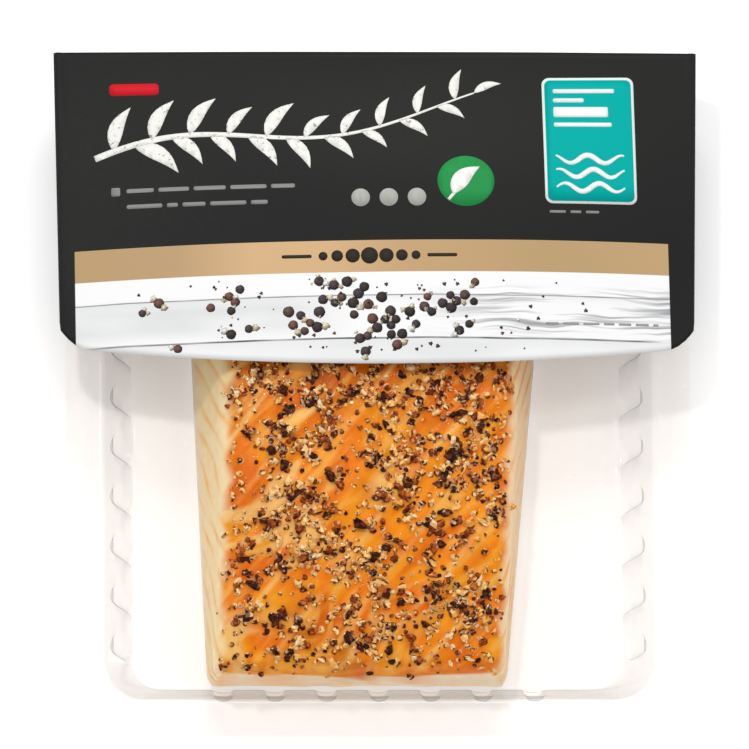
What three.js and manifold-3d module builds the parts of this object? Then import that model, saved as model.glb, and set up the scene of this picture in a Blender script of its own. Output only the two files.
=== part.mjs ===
// A retail pack of hot-smoked salmon, lying on its back: a ribbed clear tray, one thick piece of
// fillet coated with cracked pepper, and a printed card sleeve around the upper part of the tray.
// Millimetres, +Z up. X runs across the pack and +Y towards its top end.
// The origin is at the middle of the pack's footprint, on the surface that it lies on.
import * as THREE from "three";
import { mergeVertices } from "three/addons/utils/BufferGeometryUtils.js";
import Module from "manifold-3d";

const wasm = await Module();
wasm.setup();

// Card sleeve: a flattened tube of board with rounded folds at its sides
const CARD = 0.6; // board thickness
const SLEEVE_TOP_Y = 103.1;
const SLEEVE_MIDDLE_Y = 6.7; // lowest point of the arched front edge
const ARCH_RISE = 4.8; // the front edge rises by this much
const ARCH_X = 77.6; // at this distance from the middle
const ARCH_POWER = 2.07;
const CORNER_X = 83.5; // the rounded corners of the front edge begin here
const CORNER_RUN = 9.4;
const CORNER_RISE = 7;
const CORNER_POWER = 2.2;
const SLEEVE_BACK_Y = 21; // straight lower edge of the sides and the back
const FOLD_X_LOWER = 92.8; // half width at the folds, lower end
const FOLD_X_UPPER = 95; // the same at the upper end, where the front lies flatter
const FOLD_Z = 26.1;
const BACK_X = 79.5; // half width of the back panel
const BULGE_LOWER = 8; // the fillet pushes the front up by this much
const BULGE_UPPER = 1.3;
const BULGE_FULL_Y = 56; // below this the bulge is whole
const BULGE_POWER = 2.2;
const FOLD_TANGENT = 2.6;
const BACK_TANGENT = 2.4;

// Clear tray: thermoformed sheet with a wide flange and half-round ribs low in its walls
const SHEET = 0.6;
const TRAY_Y = -0.3; // the tray's middle
const TRAY_HALF_X = 90.8;
const TRAY_HALF_Y = 102;
const TRAY_UNDERSIDE_Z = 0.9;
const TRAY_RIM_Z = 25;
const FLANGE = 10.6;
const WALL_RUN = 8.2; // how far a wall leans in from the flange to the floor
const FLANGE_CORNER = 16;
const FLOOR_CORNER = 9;
const RIB_PITCH_X = 15;
const RIBS_ACROSS = 7;
const RIB_PITCH_Y = 14.9;
const RIBS_ALONG = 10;
const RIB_FIRST_Y = -72.1;
const RIB_HALF = 3; // half width
const RIB_DEPTH = 2.2;
const RIB_ROUND = [0, 0.74, 1, 0.74, 0]; // the rib's profile across its width

// Fillet: a thick cut with sloping sides, thinner towards its lower end
const FISH_END_Y = -81.7;
const FISH_LENGTH = 138;
const FISH_BASE_Z = 1.8;
const FISH_THICK = 26.4; // greatest thickness at its middle line
const FISH_THICK_Y = 14;
const FISH_THIN_LOWER = 10.6; // thickness lost at the lower end
const FISH_THIN_UPPER = 5;
const BASE_LEFT = 54.2; // half widths of the underside near the sleeve's edge
const BASE_RIGHT = 46.8;
const BASE_TAPER_LEFT = 4.4; // each side is narrower by this much at the lower end
const BASE_TAPER_RIGHT = 9.3;
const TOP_LEFT = 44.2; // half widths of the upper face near the sleeve's edge
const TOP_RIGHT = 40.2;
const TOP_SPREAD_LEFT = 3.2; // the left flank steepens towards the lower end
const TOP_TAPER_RIGHT = 4.6;
const FISH_EDGE = 6; // rounding of the upper edges
const FISH_CROWN = 1.6; // height of the domed upper face over its edges
const FISH_HEEL = 1.6; // rounding of the lower edges
const END_LEAN = 1.4; // how far the upper edge of each end lies behind the lower one
const END_ROUND = 4; // length over which each end is rounded
const FLAKE_PITCH = 12; // distance between the lines where the muscle flakes part
const FLAKE_DEPTH = 0.35;
const FLAKE_LEAN = 0.9; // direction of the lines, in radians from the X axis

// Cracked pepper fused to the fillet
const PEPPER_SEED = 20417;
const PEPPER_GRAINS = 118;
const GRAIN_LARGE = 1.9; // radius of the first grain
const GRAIN_SMALL = 1.05; // radius of the last one
const GRAIN_FLAT = 0.72;
const GRAIN_SUNK = 0.32; // share of its height that lies in the flesh
const GRAIN_SPACE = 5.6; // least distance between the middles of two grains
const PEPPER_MARGIN = 3; // from the edges of the upper face

const CHARCOAL = new THREE.MeshStandardMaterial({ color: 0x32322f, roughness: 0.5, metalness: 0 });
const CLEAR = new THREE.MeshStandardMaterial({ color: 0xf3ebe6, roughness: 0.08, metalness: 0 });
const GLAZED = new THREE.MeshStandardMaterial({ color: 0xe48a3a, roughness: 0.35, metalness: 0 });

const { lerp, smoothstep } = THREE.MathUtils;
const flipX = (point) => new THREE.Vector2(-point.x, point.y);

// Evenly spread numbers from 0 to 1, the same ones on every run
function seeded(seed) {
  let state = seed;
  return () => {
    state = (state + 0x6d2b79f5) | 0;
    let mixed = Math.imul(state ^ (state >>> 15), 1 | state);
    mixed = (mixed + Math.imul(mixed ^ (mixed >>> 7), 61 | mixed)) ^ mixed;
    return ((mixed ^ (mixed >>> 14)) >>> 0) / 4294967296;
  };
}

// A closed surface made of rings of points, each ring joined to the one before it
function loft(rings, closedEnds) {
  const places = rings.flat().flatMap((point) => point.toArray());
  const faces = [];
  const count = rings[0].length;
  const pairs = closedEnds ? rings.length - 1 : rings.length;
  for (let r = 0; r < pairs; r++) {
    const lower = r * count;
    const upper = ((r + 1) % rings.length) * count;
    for (let i = 0; i < count; i++) {
      const j = (i + 1) % count;
      faces.push(lower + i, lower + j, upper + j, lower + i, upper + j, upper + i);
    }
  }
  if (closedEnds) {
    const last = (rings.length - 1) * count;
    [rings[0], rings.at(-1)].forEach((ring, end) => {
      const middle = places.length / 3;
      const centre = new THREE.Vector3();
      ring.forEach((point) => centre.addScaledVector(point, 1 / count));
      places.push(...centre.toArray());
      for (let i = 0; i < count; i++) {
        const j = (i + 1) % count;
        faces.push(...(end ? [last + i, last + j, middle] : [j, i, middle]));
      }
    });
  }
  const made = new THREE.BufferGeometry();
  made.setAttribute("position", new THREE.Float32BufferAttribute(places, 3));
  made.setIndex(faces);
  return made;
}

// A rounded corner as points on a curve that starts and ends `tangent` away from the sharp one
function corner(before, at, after, tangent, steps) {
  const start = at.clone().add(before.clone().sub(at).setLength(tangent));
  const end = at.clone().add(after.clone().sub(at).setLength(tangent));
  const pull = 0.6; // keeps the curve close to a circular arc
  const curve = new THREE.CubicBezierCurve(
    start,
    start.clone().lerp(at, pull),
    end.clone().lerp(at, pull),
    end,
  );
  return curve.getPoints(steps);
}

// The anticlockwise outline moved inwards by `inset`
function inwards(outline, inset) {
  const count = outline.length;
  return outline.map((point, i) => {
    const before = point.clone().sub(outline[(i + count - 1) % count]).normalize();
    const after = outline[(i + 1) % count].clone().sub(point).normalize();
    const normal = new THREE.Vector2(-before.y - after.y, before.x + after.x).normalize();
    const spread = normal.dot(new THREE.Vector2(-after.y, after.x));
    return point.clone().addScaledVector(normal, inset / spread);
  });
}

// Outer outline of the sleeve across its length, with x across and y for the height
function sleeveOutline(y) {
  const upper = smoothstep(y, BULGE_FULL_Y, SLEEVE_TOP_Y);
  const foldX = lerp(FOLD_X_LOWER, FOLD_X_UPPER, (y - SLEEVE_MIDDLE_Y) / (SLEEVE_TOP_Y - SLEEVE_MIDDLE_Y));
  const bulge = lerp(BULGE_LOWER, BULGE_UPPER, upper);
  const front = (x) => FOLD_Z + bulge * (1 - Math.abs(x / foldX) ** BULGE_POWER);
  const panelX = foldX - FOLD_TANGENT;
  const back = new THREE.Vector2(BACK_X, 0);
  const fold = new THREE.Vector2(foldX, FOLD_Z);
  const panel = new THREE.Vector2(panelX, front(panelX));
  const right = [
    ...corner(flipX(back), back, fold, BACK_TANGENT, 3),
    ...corner(back, fold, panel, FOLD_TANGENT, 5),
  ];
  const steps = 26;
  const top = [];
  for (let i = 1; i < steps; i++) {
    const x = lerp(panelX, -panelX, i / steps);
    top.push(new THREE.Vector2(x, front(x)));
  }
  return [...right, ...top, ...right.map(flipX).reverse()];
}

// Where the board is cut at its lower end: arched with rounded corners in front, straight behind
function sleeveCut(point) {
  if (point.y < FOLD_Z - CARD) return SLEEVE_BACK_Y;
  const across = Math.abs(point.x);
  const arch = ARCH_RISE * (across / ARCH_X) ** ARCH_POWER;
  const round = CORNER_RISE * Math.max(0, (across - CORNER_X) / CORNER_RUN) ** CORNER_POWER;
  return Math.min(SLEEVE_BACK_Y, SLEEVE_MIDDLE_Y + arch + round);
}

function sleeveGeometry() {
  const levels = 8;
  const cuts = sleeveOutline(SLEEVE_MIDDLE_Y).map(sleeveCut);
  const ring = (level, inset) =>
    cuts.map((cut, i) => {
      const y = lerp(cut, SLEEVE_TOP_Y, level / levels);
      const point = inwards(sleeveOutline(y), inset)[i];
      return new THREE.Vector3(point.x, y, point.y);
    });
  const rings = [];
  for (let level = levels; level >= 0; level--) rings.push(ring(level, 0));
  for (let level = 0; level <= levels; level++) rings.push(ring(level, CARD));
  return loft(rings, false);
}

// Places around the tray, anticlockwise from its lower left, with how far a rib stands out there
function trayStations() {
  const stations = [];
  const addRibs = (first, pitch, count, unit, out) => {
    for (let rib = 0; rib < count; rib++) {
      RIB_ROUND.forEach((share, i) => {
        const offset = RIB_HALF * ((2 * i) / (RIB_ROUND.length - 1) - 1);
        stations.push({ along: unit * (first + rib * pitch + offset), out, share });
      });
    }
  };
  const addCorner = (signX, signY, start) => {
    const steps = 6;
    for (let i = 0; i <= steps; i++) {
      stations.push({ signX, signY, turn: start + (i / steps) * (Math.PI / 2) });
    }
  };
  const firstX = (-RIB_PITCH_X * (RIBS_ACROSS - 1)) / 2;
  const lastY = RIB_FIRST_Y + RIB_PITCH_Y * (RIBS_ALONG - 1);
  addRibs(firstX, RIB_PITCH_X, RIBS_ACROSS, 1, "lower");
  addCorner(1, -1, -Math.PI / 2);
  addRibs(RIB_FIRST_Y, RIB_PITCH_Y, RIBS_ALONG, 1, "right");
  addCorner(1, 1, 0);
  addRibs(firstX, RIB_PITCH_X, RIBS_ACROSS, -1, "upper");
  addCorner(-1, 1, Math.PI / 2);
  addRibs(-lastY, RIB_PITCH_Y, RIBS_ALONG, -1, "left");
  addCorner(-1, -1, Math.PI);
  return stations;
}

// One ring of the tray, `inset` from the flange's edge, with its ribs pushed outwards
function trayRing(stations, { inset, z, rib }) {
  const halfX = TRAY_HALF_X - inset;
  const halfY = TRAY_HALF_Y - inset;
  const lean = inset / (FLANGE + WALL_RUN);
  const radius = lerp(FLANGE_CORNER, FLOOR_CORNER, Math.min(1, lean));
  return stations.map(({ along, out, share, signX, signY, turn }) => {
    if (out === "lower") return new THREE.Vector3(along, TRAY_Y - halfY - share * rib, z);
    if (out === "upper") return new THREE.Vector3(along, TRAY_Y + halfY + share * rib, z);
    if (out === "right") return new THREE.Vector3(halfX + share * rib, along, z);
    if (out === "left") return new THREE.Vector3(-halfX - share * rib, along, z);
    return new THREE.Vector3(
      signX * (halfX - radius) + radius * Math.cos(turn),
      TRAY_Y + signY * (halfY - radius) + radius * Math.sin(turn),
      z,
    );
  });
}

// The wall from the floor to the flange: how far up, and how much of the rib's depth is left
const WALL_LEVELS = [
  { up: 0, rib: 0.7, tuck: 1 },
  { up: 0.05, rib: 1, tuck: 0.2 },
  { up: 0.5, rib: 0.9, tuck: 0 },
  { up: 0.68, rib: 0, tuck: 0 },
  { up: 1, rib: 0, tuck: 0 },
];

function trayGeometry() {
  const stations = trayStations();
  const wall = (thick) =>
    WALL_LEVELS.map(({ up, rib, tuck }) => ({
      inset: FLANGE + WALL_RUN * (1 - up) + 0.8 * tuck + 1.05 * thick,
      z: lerp(TRAY_UNDERSIDE_Z + thick, TRAY_RIM_Z - SHEET + thick, up),
      rib: RIB_DEPTH * rib,
    }));
  const levels = [
    ...wall(0),
    { inset: 0, z: TRAY_RIM_Z - SHEET, rib: 0 },
    { inset: 0, z: TRAY_RIM_Z, rib: 0 },
    ...wall(SHEET).reverse(),
  ];
  return loft(levels.map((level) => trayRing(stations, level)), true);
}

// How far a place lies on the way from the thickest part to the lower end, 0 to 1
function downShare(y) {
  return THREE.MathUtils.clamp((FISH_THICK_Y - y) / (FISH_THICK_Y - FISH_END_Y), 0, 1);
}

const topLeft = (y) => TOP_LEFT + TOP_SPREAD_LEFT * downShare(y) ** 3;
const topRight = (y) => TOP_RIGHT - TOP_TAPER_RIGHT * downShare(y);

// Thickness of the fillet's middle line at one place along its length
function thickness(y) {
  const up = Math.max(0, (y - FISH_THICK_Y) / (FISH_END_Y + FISH_LENGTH - FISH_THICK_Y));
  return FISH_THICK - FISH_THIN_LOWER * downShare(y) ** 2.3 - FISH_THIN_UPPER * up ** 2;
}

// Height of the upper face at a point, with the shallow lines between the muscle flakes
function fishTop(x, y) {
  const side = x < 0 ? topLeft(y) : topRight(y);
  const dome = FISH_CROWN * (1 - Math.min(1, Math.abs(x) / side) ** 2);
  const across = y * Math.cos(FLAKE_LEAN) - x * Math.sin(FLAKE_LEAN);
  const flake = FLAKE_DEPTH * Math.cos((2 * Math.PI * across) / FLAKE_PITCH);
  return FISH_BASE_Z + thickness(y) + dome + flake;
}

// Anticlockwise section across the fillet, as places relative to its underside's middle
function fishSection(y) {
  const left = -BASE_LEFT + BASE_TAPER_LEFT * downShare(y);
  const right = BASE_RIGHT - BASE_TAPER_RIGHT * downShare(y);
  const points = [];
  for (let i = 1; i < 4; i++) points.push(new THREE.Vector2(lerp(left, right, i / 4), FISH_BASE_Z));
  const flank = (base, top, sign) => {
    const foot = new THREE.Vector2(base, FISH_BASE_Z);
    const edge = new THREE.Vector2(top, fishTop(top, y));
    const inside = new THREE.Vector2(top - sign * 10, fishTop(top - sign * 10, y));
    const under = new THREE.Vector2(base - sign * 10, FISH_BASE_Z);
    const lower = corner(under, foot, edge, FISH_HEEL, 2);
    const upper = corner(foot, edge, inside, FISH_EDGE, 4);
    return [...lower, lower.at(-1).clone().lerp(upper[0], 0.5), ...upper];
  };
  points.push(...flank(right, topRight(y), 1));
  const steps = 17;
  for (let i = 1; i < steps; i++) {
    const x = lerp(topRight(y) - FISH_EDGE, -topLeft(y) + FISH_EDGE, i / steps);
    points.push(new THREE.Vector2(x, fishTop(x, y)));
  }
  points.push(...flank(left, -topLeft(y), -1).reverse());
  return points;
}

function filletGeometry() {
  const rings = [];
  const steps = 25;
  const along = [0, 0.012];
  for (let i = 1; i < steps; i++) along.push(i / steps);
  along.push(0.988, 1);
  along.forEach((share) => {
    const near = Math.min(share, 1 - share) * FISH_LENGTH; // distance from the nearer end
    const y = FISH_END_Y + share * FISH_LENGTH;
    const inward = share < 0.5 ? 1 : -1;
    const fade = Math.max(0, 1 - near / END_ROUND) ** 2;
    const section = fishSection(y).map((point) => {
      const high = (point.y - FISH_BASE_Z) / thickness(y);
      return new THREE.Vector3(
        point.x * (1 - 0.03 * fade),
        y + inward * END_LEAN * high * fade,
        FISH_BASE_Z + (point.y - FISH_BASE_Z) * (1 - 0.14 * fade * high),
      );
    });
    rings.push(section);
  });
  return loft(rings.reverse(), true);
}

// One angular crumb of cracked pepper
function grainGeometry(random, radius) {
  const grain = new THREE.IcosahedronGeometry(radius, 0);
  grain.deleteAttribute("normal");
  grain.deleteAttribute("uv");
  const merged = mergeVertices(grain);
  const places = merged.attributes.position;
  for (let i = 0; i < places.count; i++) {
    const push = 0.8 + 0.35 * random();
    places.setXYZ(i, places.getX(i) * push, places.getY(i) * push, places.getZ(i) * push);
  }
  merged.rotateX(2 * Math.PI * random());
  merged.rotateZ(2 * Math.PI * random());
  merged.scale(1, 1, GRAIN_FLAT);
  return merged;
}

// Grains on the upper face, the largest first, each clear of those before it
function pepperGrains(fillet) {
  const random = seeded(PEPPER_SEED);
  const skin = new THREE.Mesh(fillet, GLAZED);
  const down = new THREE.Vector3(0, 0, -1);
  const placed = [];
  const grains = [];
  while (grains.length < PEPPER_GRAINS) {
    const y = FISH_END_Y + lerp(2 * PEPPER_MARGIN, FISH_LENGTH - 2 * PEPPER_MARGIN, random());
    const x = lerp(PEPPER_MARGIN - topLeft(y), topRight(y) - PEPPER_MARGIN, random());
    const spot = new THREE.Vector2(x, y);
    if (placed.some((other) => other.distanceTo(spot) < GRAIN_SPACE)) continue;
    placed.push(spot);
    const radius = lerp(GRAIN_LARGE, GRAIN_SMALL, grains.length / (PEPPER_GRAINS - 1));
    const grain = grainGeometry(random, radius);
    grain.computeBoundingBox();
    const { min, max } = grain.boundingBox;
    const above = new THREE.Vector3(x, y, 2 * FISH_THICK);
    const surface = new THREE.Raycaster(above, down).intersectObject(skin)[0].point.z;
    grain.translate(x, y, surface - min.z - GRAIN_SUNK * (max.z - min.z));
    grains.push(grain);
  }
  return grains;
}

function toManifold(geometry) {
  const bare = geometry.clone();
  bare.deleteAttribute("normal");
  bare.deleteAttribute("uv");
  const merged = mergeVertices(bare, 1e-3);
  const mesh = new wasm.Mesh({
    numProp: 3,
    vertProperties: Float32Array.from(merged.attributes.position.array),
    triVerts: Uint32Array.from(merged.index.array),
  });
  return new wasm.Manifold(mesh);
}

function toGeometry(manifold) {
  const mesh = manifold.getMesh();
  const made = new THREE.BufferGeometry();
  made.setAttribute("position", new THREE.Float32BufferAttribute(mesh.vertProperties, 3));
  made.setIndex(Array.from(mesh.triVerts));
  return made;
}

function salmonGeometry() {
  const fillet = filletGeometry();
  let body = toManifold(fillet);
  pepperGrains(fillet).forEach((grain) => {
    body = body.add(toManifold(grain));
  });
  return toGeometry(body);
}

function part(name, geometry, material) {
  geometry.computeVertexNormals();
  const mesh = new THREE.Mesh(geometry, material);
  mesh.name = name;
  return mesh;
}

const group = new THREE.Group();
group.name = "smoked_salmon_pack";
group.add(part("card_sleeve", sleeveGeometry(), CHARCOAL));
group.add(part("clear_tray", trayGeometry(), CLEAR));
group.add(part("salmon_fillet", salmonGeometry(), GLAZED));

export default group;
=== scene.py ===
import math
import random

import bmesh
import bpy
from mathutils import Matrix, Vector, noise
from mathutils.bvhtree import BVHTree
from mathutils.kdtree import KDTree


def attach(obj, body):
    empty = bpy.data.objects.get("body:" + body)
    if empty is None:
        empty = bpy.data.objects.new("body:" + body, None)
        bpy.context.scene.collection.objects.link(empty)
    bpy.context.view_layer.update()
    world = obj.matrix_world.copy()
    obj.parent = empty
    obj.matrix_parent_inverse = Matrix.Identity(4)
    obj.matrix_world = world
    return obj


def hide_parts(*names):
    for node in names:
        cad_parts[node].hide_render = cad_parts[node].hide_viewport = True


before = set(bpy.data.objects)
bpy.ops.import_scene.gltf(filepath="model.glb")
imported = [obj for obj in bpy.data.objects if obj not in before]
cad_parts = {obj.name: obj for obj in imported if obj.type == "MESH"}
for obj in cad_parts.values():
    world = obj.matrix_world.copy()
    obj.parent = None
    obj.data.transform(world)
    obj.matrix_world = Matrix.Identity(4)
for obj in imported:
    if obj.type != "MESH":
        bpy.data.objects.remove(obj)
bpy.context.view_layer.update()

MM = 0.001

# The sleeve's sizes, in millimetres, as in the solid that it stands for
SLEEVE_TOP_Y = 103.1
SLEEVE_MIDDLE_Y = 6.7
SLEEVE_BACK_Y = 21.0
FOLD_X_LOWER = 92.8
FOLD_X_UPPER = 95.0
FOLD_Z = 26.1
BACK_X = 79.5
BULGE_LOWER = 8.0
BULGE_UPPER = 1.3
BULGE_FULL_Y = 56.0
BULGE_POWER = 2.2
BOARD = 0.5

# The tray's sizes
TRAY_Y = -0.3
TRAY_HALF_X = 90.8
TRAY_HALF_Y = 102.0
TRAY_FLOOR_Z = 1.5
TRAY_RIM_Z = 25.0
FLANGE = 10.6
WALL_RUN = 8.2

# The fillet's sizes
FISH_END_Y = -81.7
FISH_LENGTH = 138.0
FISH_FAR_Y = FISH_END_Y + FISH_LENGTH
FISH_BASE_Z = 1.8
FISH_THICK = 26.4
FISH_THICK_Y = 14.0

# The print is turned and shifted on the board, as on the real pack, and its lower edge is arched.
# INK is how far an ink's film stands off the board, OVERPRINT how far one ink lies over another.
PRINT_TURN = math.radians(0.8)
PRINT_SHIFT = -1.05
PRINT_ARCH = 0.0008
INK = 0.05
INK_WALL = 0.03
OVERPRINT = 0.04

# Crumbs of a larger radius than this are broken from a finer ball; the painted highlight and shadow lines beside
# crumbs are this thick
LARGE_CRUMB = 0.95
RIM_WALL = 0.06

# Plumb lines that find a surface are dropped from this height
ABOVE = 80.0


def clamp(value, low=0.0, high=1.0):
    """The value, kept between low and high."""
    return max(low, min(high, value))


def mix(a, b, share):
    """The place between a and b at this share of the way."""
    return a + (b - a) * share


def shares(steps):
    """Shares from 0 to 1, in even steps."""
    return [i / steps for i in range(steps + 1)]


def smooth(value, low, high):
    """0 at low and 1 at high, with an even start and end."""
    share = clamp((value - low) / (high - low))
    return share * share * (3 - 2 * share)


def patchy(x, y, size_x, size_y, layer):
    """Soft noise around 0, in patches of these sizes; each layer is a pattern of its own."""
    return noise.noise(Vector((x / size_x, y / size_y, layer)))


def linear(code):
    """An sRGB hex value as linear red, green, blue and full alpha."""
    parts = [int(code[i:i + 2], 16) / 255 for i in (0, 2, 4)]
    return [p / 12.92 if p <= 0.04045 else ((p + 0.055) / 1.055) ** 2.4 for p in parts] + [1.0]


# ---------------------------------------------------------------- materials

def connect(tree, node, sockets):
    """Fills a node's inputs, given by name or in their order: outputs are linked, anything else is a value."""
    for key, value in sockets.items() if isinstance(sockets, dict) else enumerate(sockets):
        if isinstance(value, bpy.types.NodeSocket):
            tree.links.new(value, node.inputs[key])
        else:
            node.inputs[key].default_value = value


def add(tree, kind, sockets=(), out=0, stops=(), **settings):
    """Adds one node with its settings, inputs and colour stops, and gives back its output `out`.

    In their order, the inputs of MapRange are its value, where that starts and ends, and the results there.
    """
    made = tree.nodes.new("ShaderNode" + kind)
    for key, value in settings.items():
        setattr(made, key, value)
    connect(tree, made, sockets)
    for number, (position, code) in enumerate(stops):
        elements = made.color_ramp.elements
        element = elements[number] if number < 2 else elements.new(position)
        element.position, element.color = position, linear(code)
    return made.outputs[out]


def finish(name):
    """A new material, its node tree and its Principled shader."""
    material = bpy.data.materials.new(name)
    material.use_nodes = True
    return material, material.node_tree, material.node_tree.nodes["Principled BSDF"]


def product(tree, *shares):
    """Shares multiplied with one another; each is a number or an output."""
    total, *others = shares
    for share in others:
        total = add(tree, "Math", [total, share], operation="MULTIPLY")
    return total


def layered(tree, colour, *layers):
    """A colour with others over it; each layer is its cover and its colour, as a hex value or an output."""
    for cover, over in layers:
        over = linear(over) if isinstance(over, str) else over
        colour = add(tree, "Mix", {0: cover, 6: colour, 7: over}, out=2, data_type="RGBA")
    return colour


def between(tree, value, low, high, soft):
    """1 between low and high, with edges that are `soft` wide."""
    up = add(tree, "MapRange", [value, low - soft, low + soft])
    down = add(tree, "MapRange", [value, high + soft, high - soft])
    return product(tree, up, down)


def stretched_noise(tree, scale, detail=3.0, roughness=0.55):
    """Noise in object space whose features are 1 / scale metres long on each axis."""
    place = add(tree, "Mapping", {"Vector": add(tree, "TexCoord", out="Object"), "Scale": scale})
    return add(tree, "TexNoise", {"Vector": place, "Scale": 1.0, "Detail": detail, "Roughness": roughness})


def wandering(tree, value, scale, reach):
    """A place that noise moves to and fro by up to half of `reach`."""
    push = add(tree, "Math", [stretched_noise(tree, scale, detail=2.0), reach, -reach / 2],
               operation="MULTIPLY_ADD")
    return add(tree, "Math", [value, push], operation="ADD")


def printed_board():
    """Folding boxboard, offset printed and varnished: satin charcoal, a tan band and white planks."""
    front_low, front_high = 0.0245, 0.05
    print_left, print_right = -0.0863, 0.0865
    band_high, band_low, upper_line, lower_line = 0.04385, 0.03425, 0.02715, 0.0142
    bow_over_square = 0.0005 / 0.086 ** 2
    streaks_along, streaks_across = 26.0, 620.0

    material, tree, shader = finish("printed_folding_boxboard")
    turned = add(tree, "Mapping", {"Vector": add(tree, "TexCoord", out="Object"), "Rotation": (0, 0, -PRINT_TURN),
                                   "Location": (-PRINT_SHIFT * MM, 0, 0)})
    x, level, height = add(tree, "SeparateXYZ", [turned]).node.outputs
    y = add(tree, "Math", [level, product(tree, x, x, bow_over_square)], operation="ADD")

    # Tan band: a metallic ink, with a painted highlight where the ramp is lighter left of its middle
    along_band = add(tree, "Math", [x, 1 / 0.173, 0.5], operation="MULTIPLY_ADD")
    tan = add(tree, "ValToRGB", [along_band], stops=(
        (0.0, "bd9e74"), (0.17, "c0a078"), (0.3, "d9b488"), (0.42, "d8b386"),
        (0.55, "c8a67a"), (0.8, "be9f73"), (1.0, "c4a478")))

    # White planks: soft shade in the hollows on the left and below the lower line
    hollow = add(tree, "ValToRGB", [stretched_noise(tree, (17, 55, 20), detail=2.0)],
                 stops=((0.3, "000000"), (0.62, "ffffff")))
    leftward = add(tree, "MapRange", [x, -0.005, -0.03])
    left_shade = product(tree, leftward, between(tree, y, lower_line + 0.002, upper_line - 0.001, 0.0022), 0.7)
    low_plank = add(tree, "MapRange", [y, lower_line + 0.0005, lower_line - 0.002, 0.0, 0.45])
    shade = add(tree, "Math", [left_shade, low_plank], operation="MAXIMUM")

    # Wavy streaks of grain on the right of the middle plank
    swayed = add(tree, "CombineXYZ", [product(tree, x, streaks_along),
                                      product(tree, wandering(tree, y, (42, 70, 70), 0.005), streaks_across)])
    grain = add(tree, "TexNoise", {"Vector": swayed, "Scale": 1.0, "Detail": 3.0})
    streak = add(tree, "MapRange", [grain, 0.47, 0.62])
    rightward = add(tree, "MapRange", [x, 0.012, 0.04])
    middle_plank = between(tree, y, lower_line + 0.001, upper_line + 0.002, 0.0015)
    planks = layered(tree, linear("fafafa"), (product(tree, shade, hollow), "cfd0d1"),
                     (product(tree, streak, rightward, middle_plank), "a8a9ac"))

    # Broken grey lines between the planks, each with a soft shade under it
    for line, thick, under, line_left, line_right in (
            (upper_line, 0.00016, 0.25, -0.2, 0.2), (lower_line, 0.00026, 0.28, -0.081, 0.0805)):
        off = add(tree, "Math", [wandering(tree, y, (22, 5, 5), 0.0012), line], operation="SUBTRACT")
        is_below = add(tree, "Math", [off, 0.0], operation="LESS_THAN")
        fade = add(tree, "MapRange", [off, -0.0035, 0.0])
        broken = add(tree, "Math", [stretched_noise(tree, (55, 60, 60)), 1.3, 0.12],
                     operation="MULTIPLY_ADD", use_clamp=True)
        core = product(tree, between(tree, off, -thick, thick, 0.0001), broken,
                       between(tree, x, line_left, line_right, 0.004))
        planks = layered(tree, planks, (product(tree, fade, fade, is_below, under), "b9babc"), (core, "4c4d50"))

    charcoal = add(tree, "ValToRGB", [stretched_noise(tree, (9, 9, 9), detail=1.0)],
                   stops=((0.35, "212221"), (0.65, "292a28")))
    banded = layered(tree, planks, (between(tree, y, band_low, 0.2, 0.00006), tan))
    printed = product(tree, between(tree, height, front_low, front_high, 0.0002),
                      between(tree, x, print_left, print_right, 0.00008),
                      add(tree, "Math", [y, band_high], operation="LESS_THAN"))
    fibres = stretched_noise(tree, (700, 700, 700), detail=2.0)
    connect(tree, shader, {
        "Base Color": layered(tree, charcoal, (printed, banded)), "Specular IOR Level": 0.07,
        "Roughness": add(tree, "MapRange", [fibres, 0.0, 1.0, 0.4, 0.54]),
        "Normal": add(tree, "Bump", {"Height": fibres, "Strength": 0.12, "Distance": 0.00008})})
    return material


def raw_board(name, code_dark, code_light):
    """Uncoated board where it is cut and on its inside: fibrous, matt and greyish white."""
    material, tree, shader = finish(name)
    fibres = stretched_noise(tree, (900, 220, 900), detail=4.0)
    connect(tree, shader, {
        "Base Color": add(tree, "ValToRGB", [fibres], stops=((0.3, code_dark), (0.7, code_light))),
        "Normal": add(tree, "Bump", {"Height": fibres, "Strength": 0.3, "Distance": 0.0001}), "Roughness": 0.85})
    return material


def flat_ink(name, code, worn=0.0):
    """One offset ink on the board: satin, with a few dry specks where the plate took too little ink."""
    material, tree, shader = finish(name)
    specks = stretched_noise(tree, (800, 800, 800), roughness=0.7)
    share = add(tree, "MapRange", [specks, 0.6, 0.66, 0.0, worn])
    connect(tree, shader, {"Base Color": layered(tree, linear(code), (share, "3a3b39")),
                           "Roughness": 0.45, "Specular IOR Level": 0.05})
    return material


def painted_ink(name):
    """The inks of the printed peppercorns, shaded from each one's middle to its rim."""
    material, tree, shader = finish(name)
    tone = add(tree, "Attribute", out="Color", attribute_name="tone")
    wrinkle = stretched_noise(tree, (1500, 1500, 1500))
    darker = add(tree, "MapRange", [wrinkle, 0.35, 0.7, 0.0, 0.55])
    connect(tree, shader, {"Base Color": layered(tree, tone, (darker, "2a2022")),
                           "Roughness": 0.45, "Specular IOR Level": 0.12})
    return material


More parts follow.
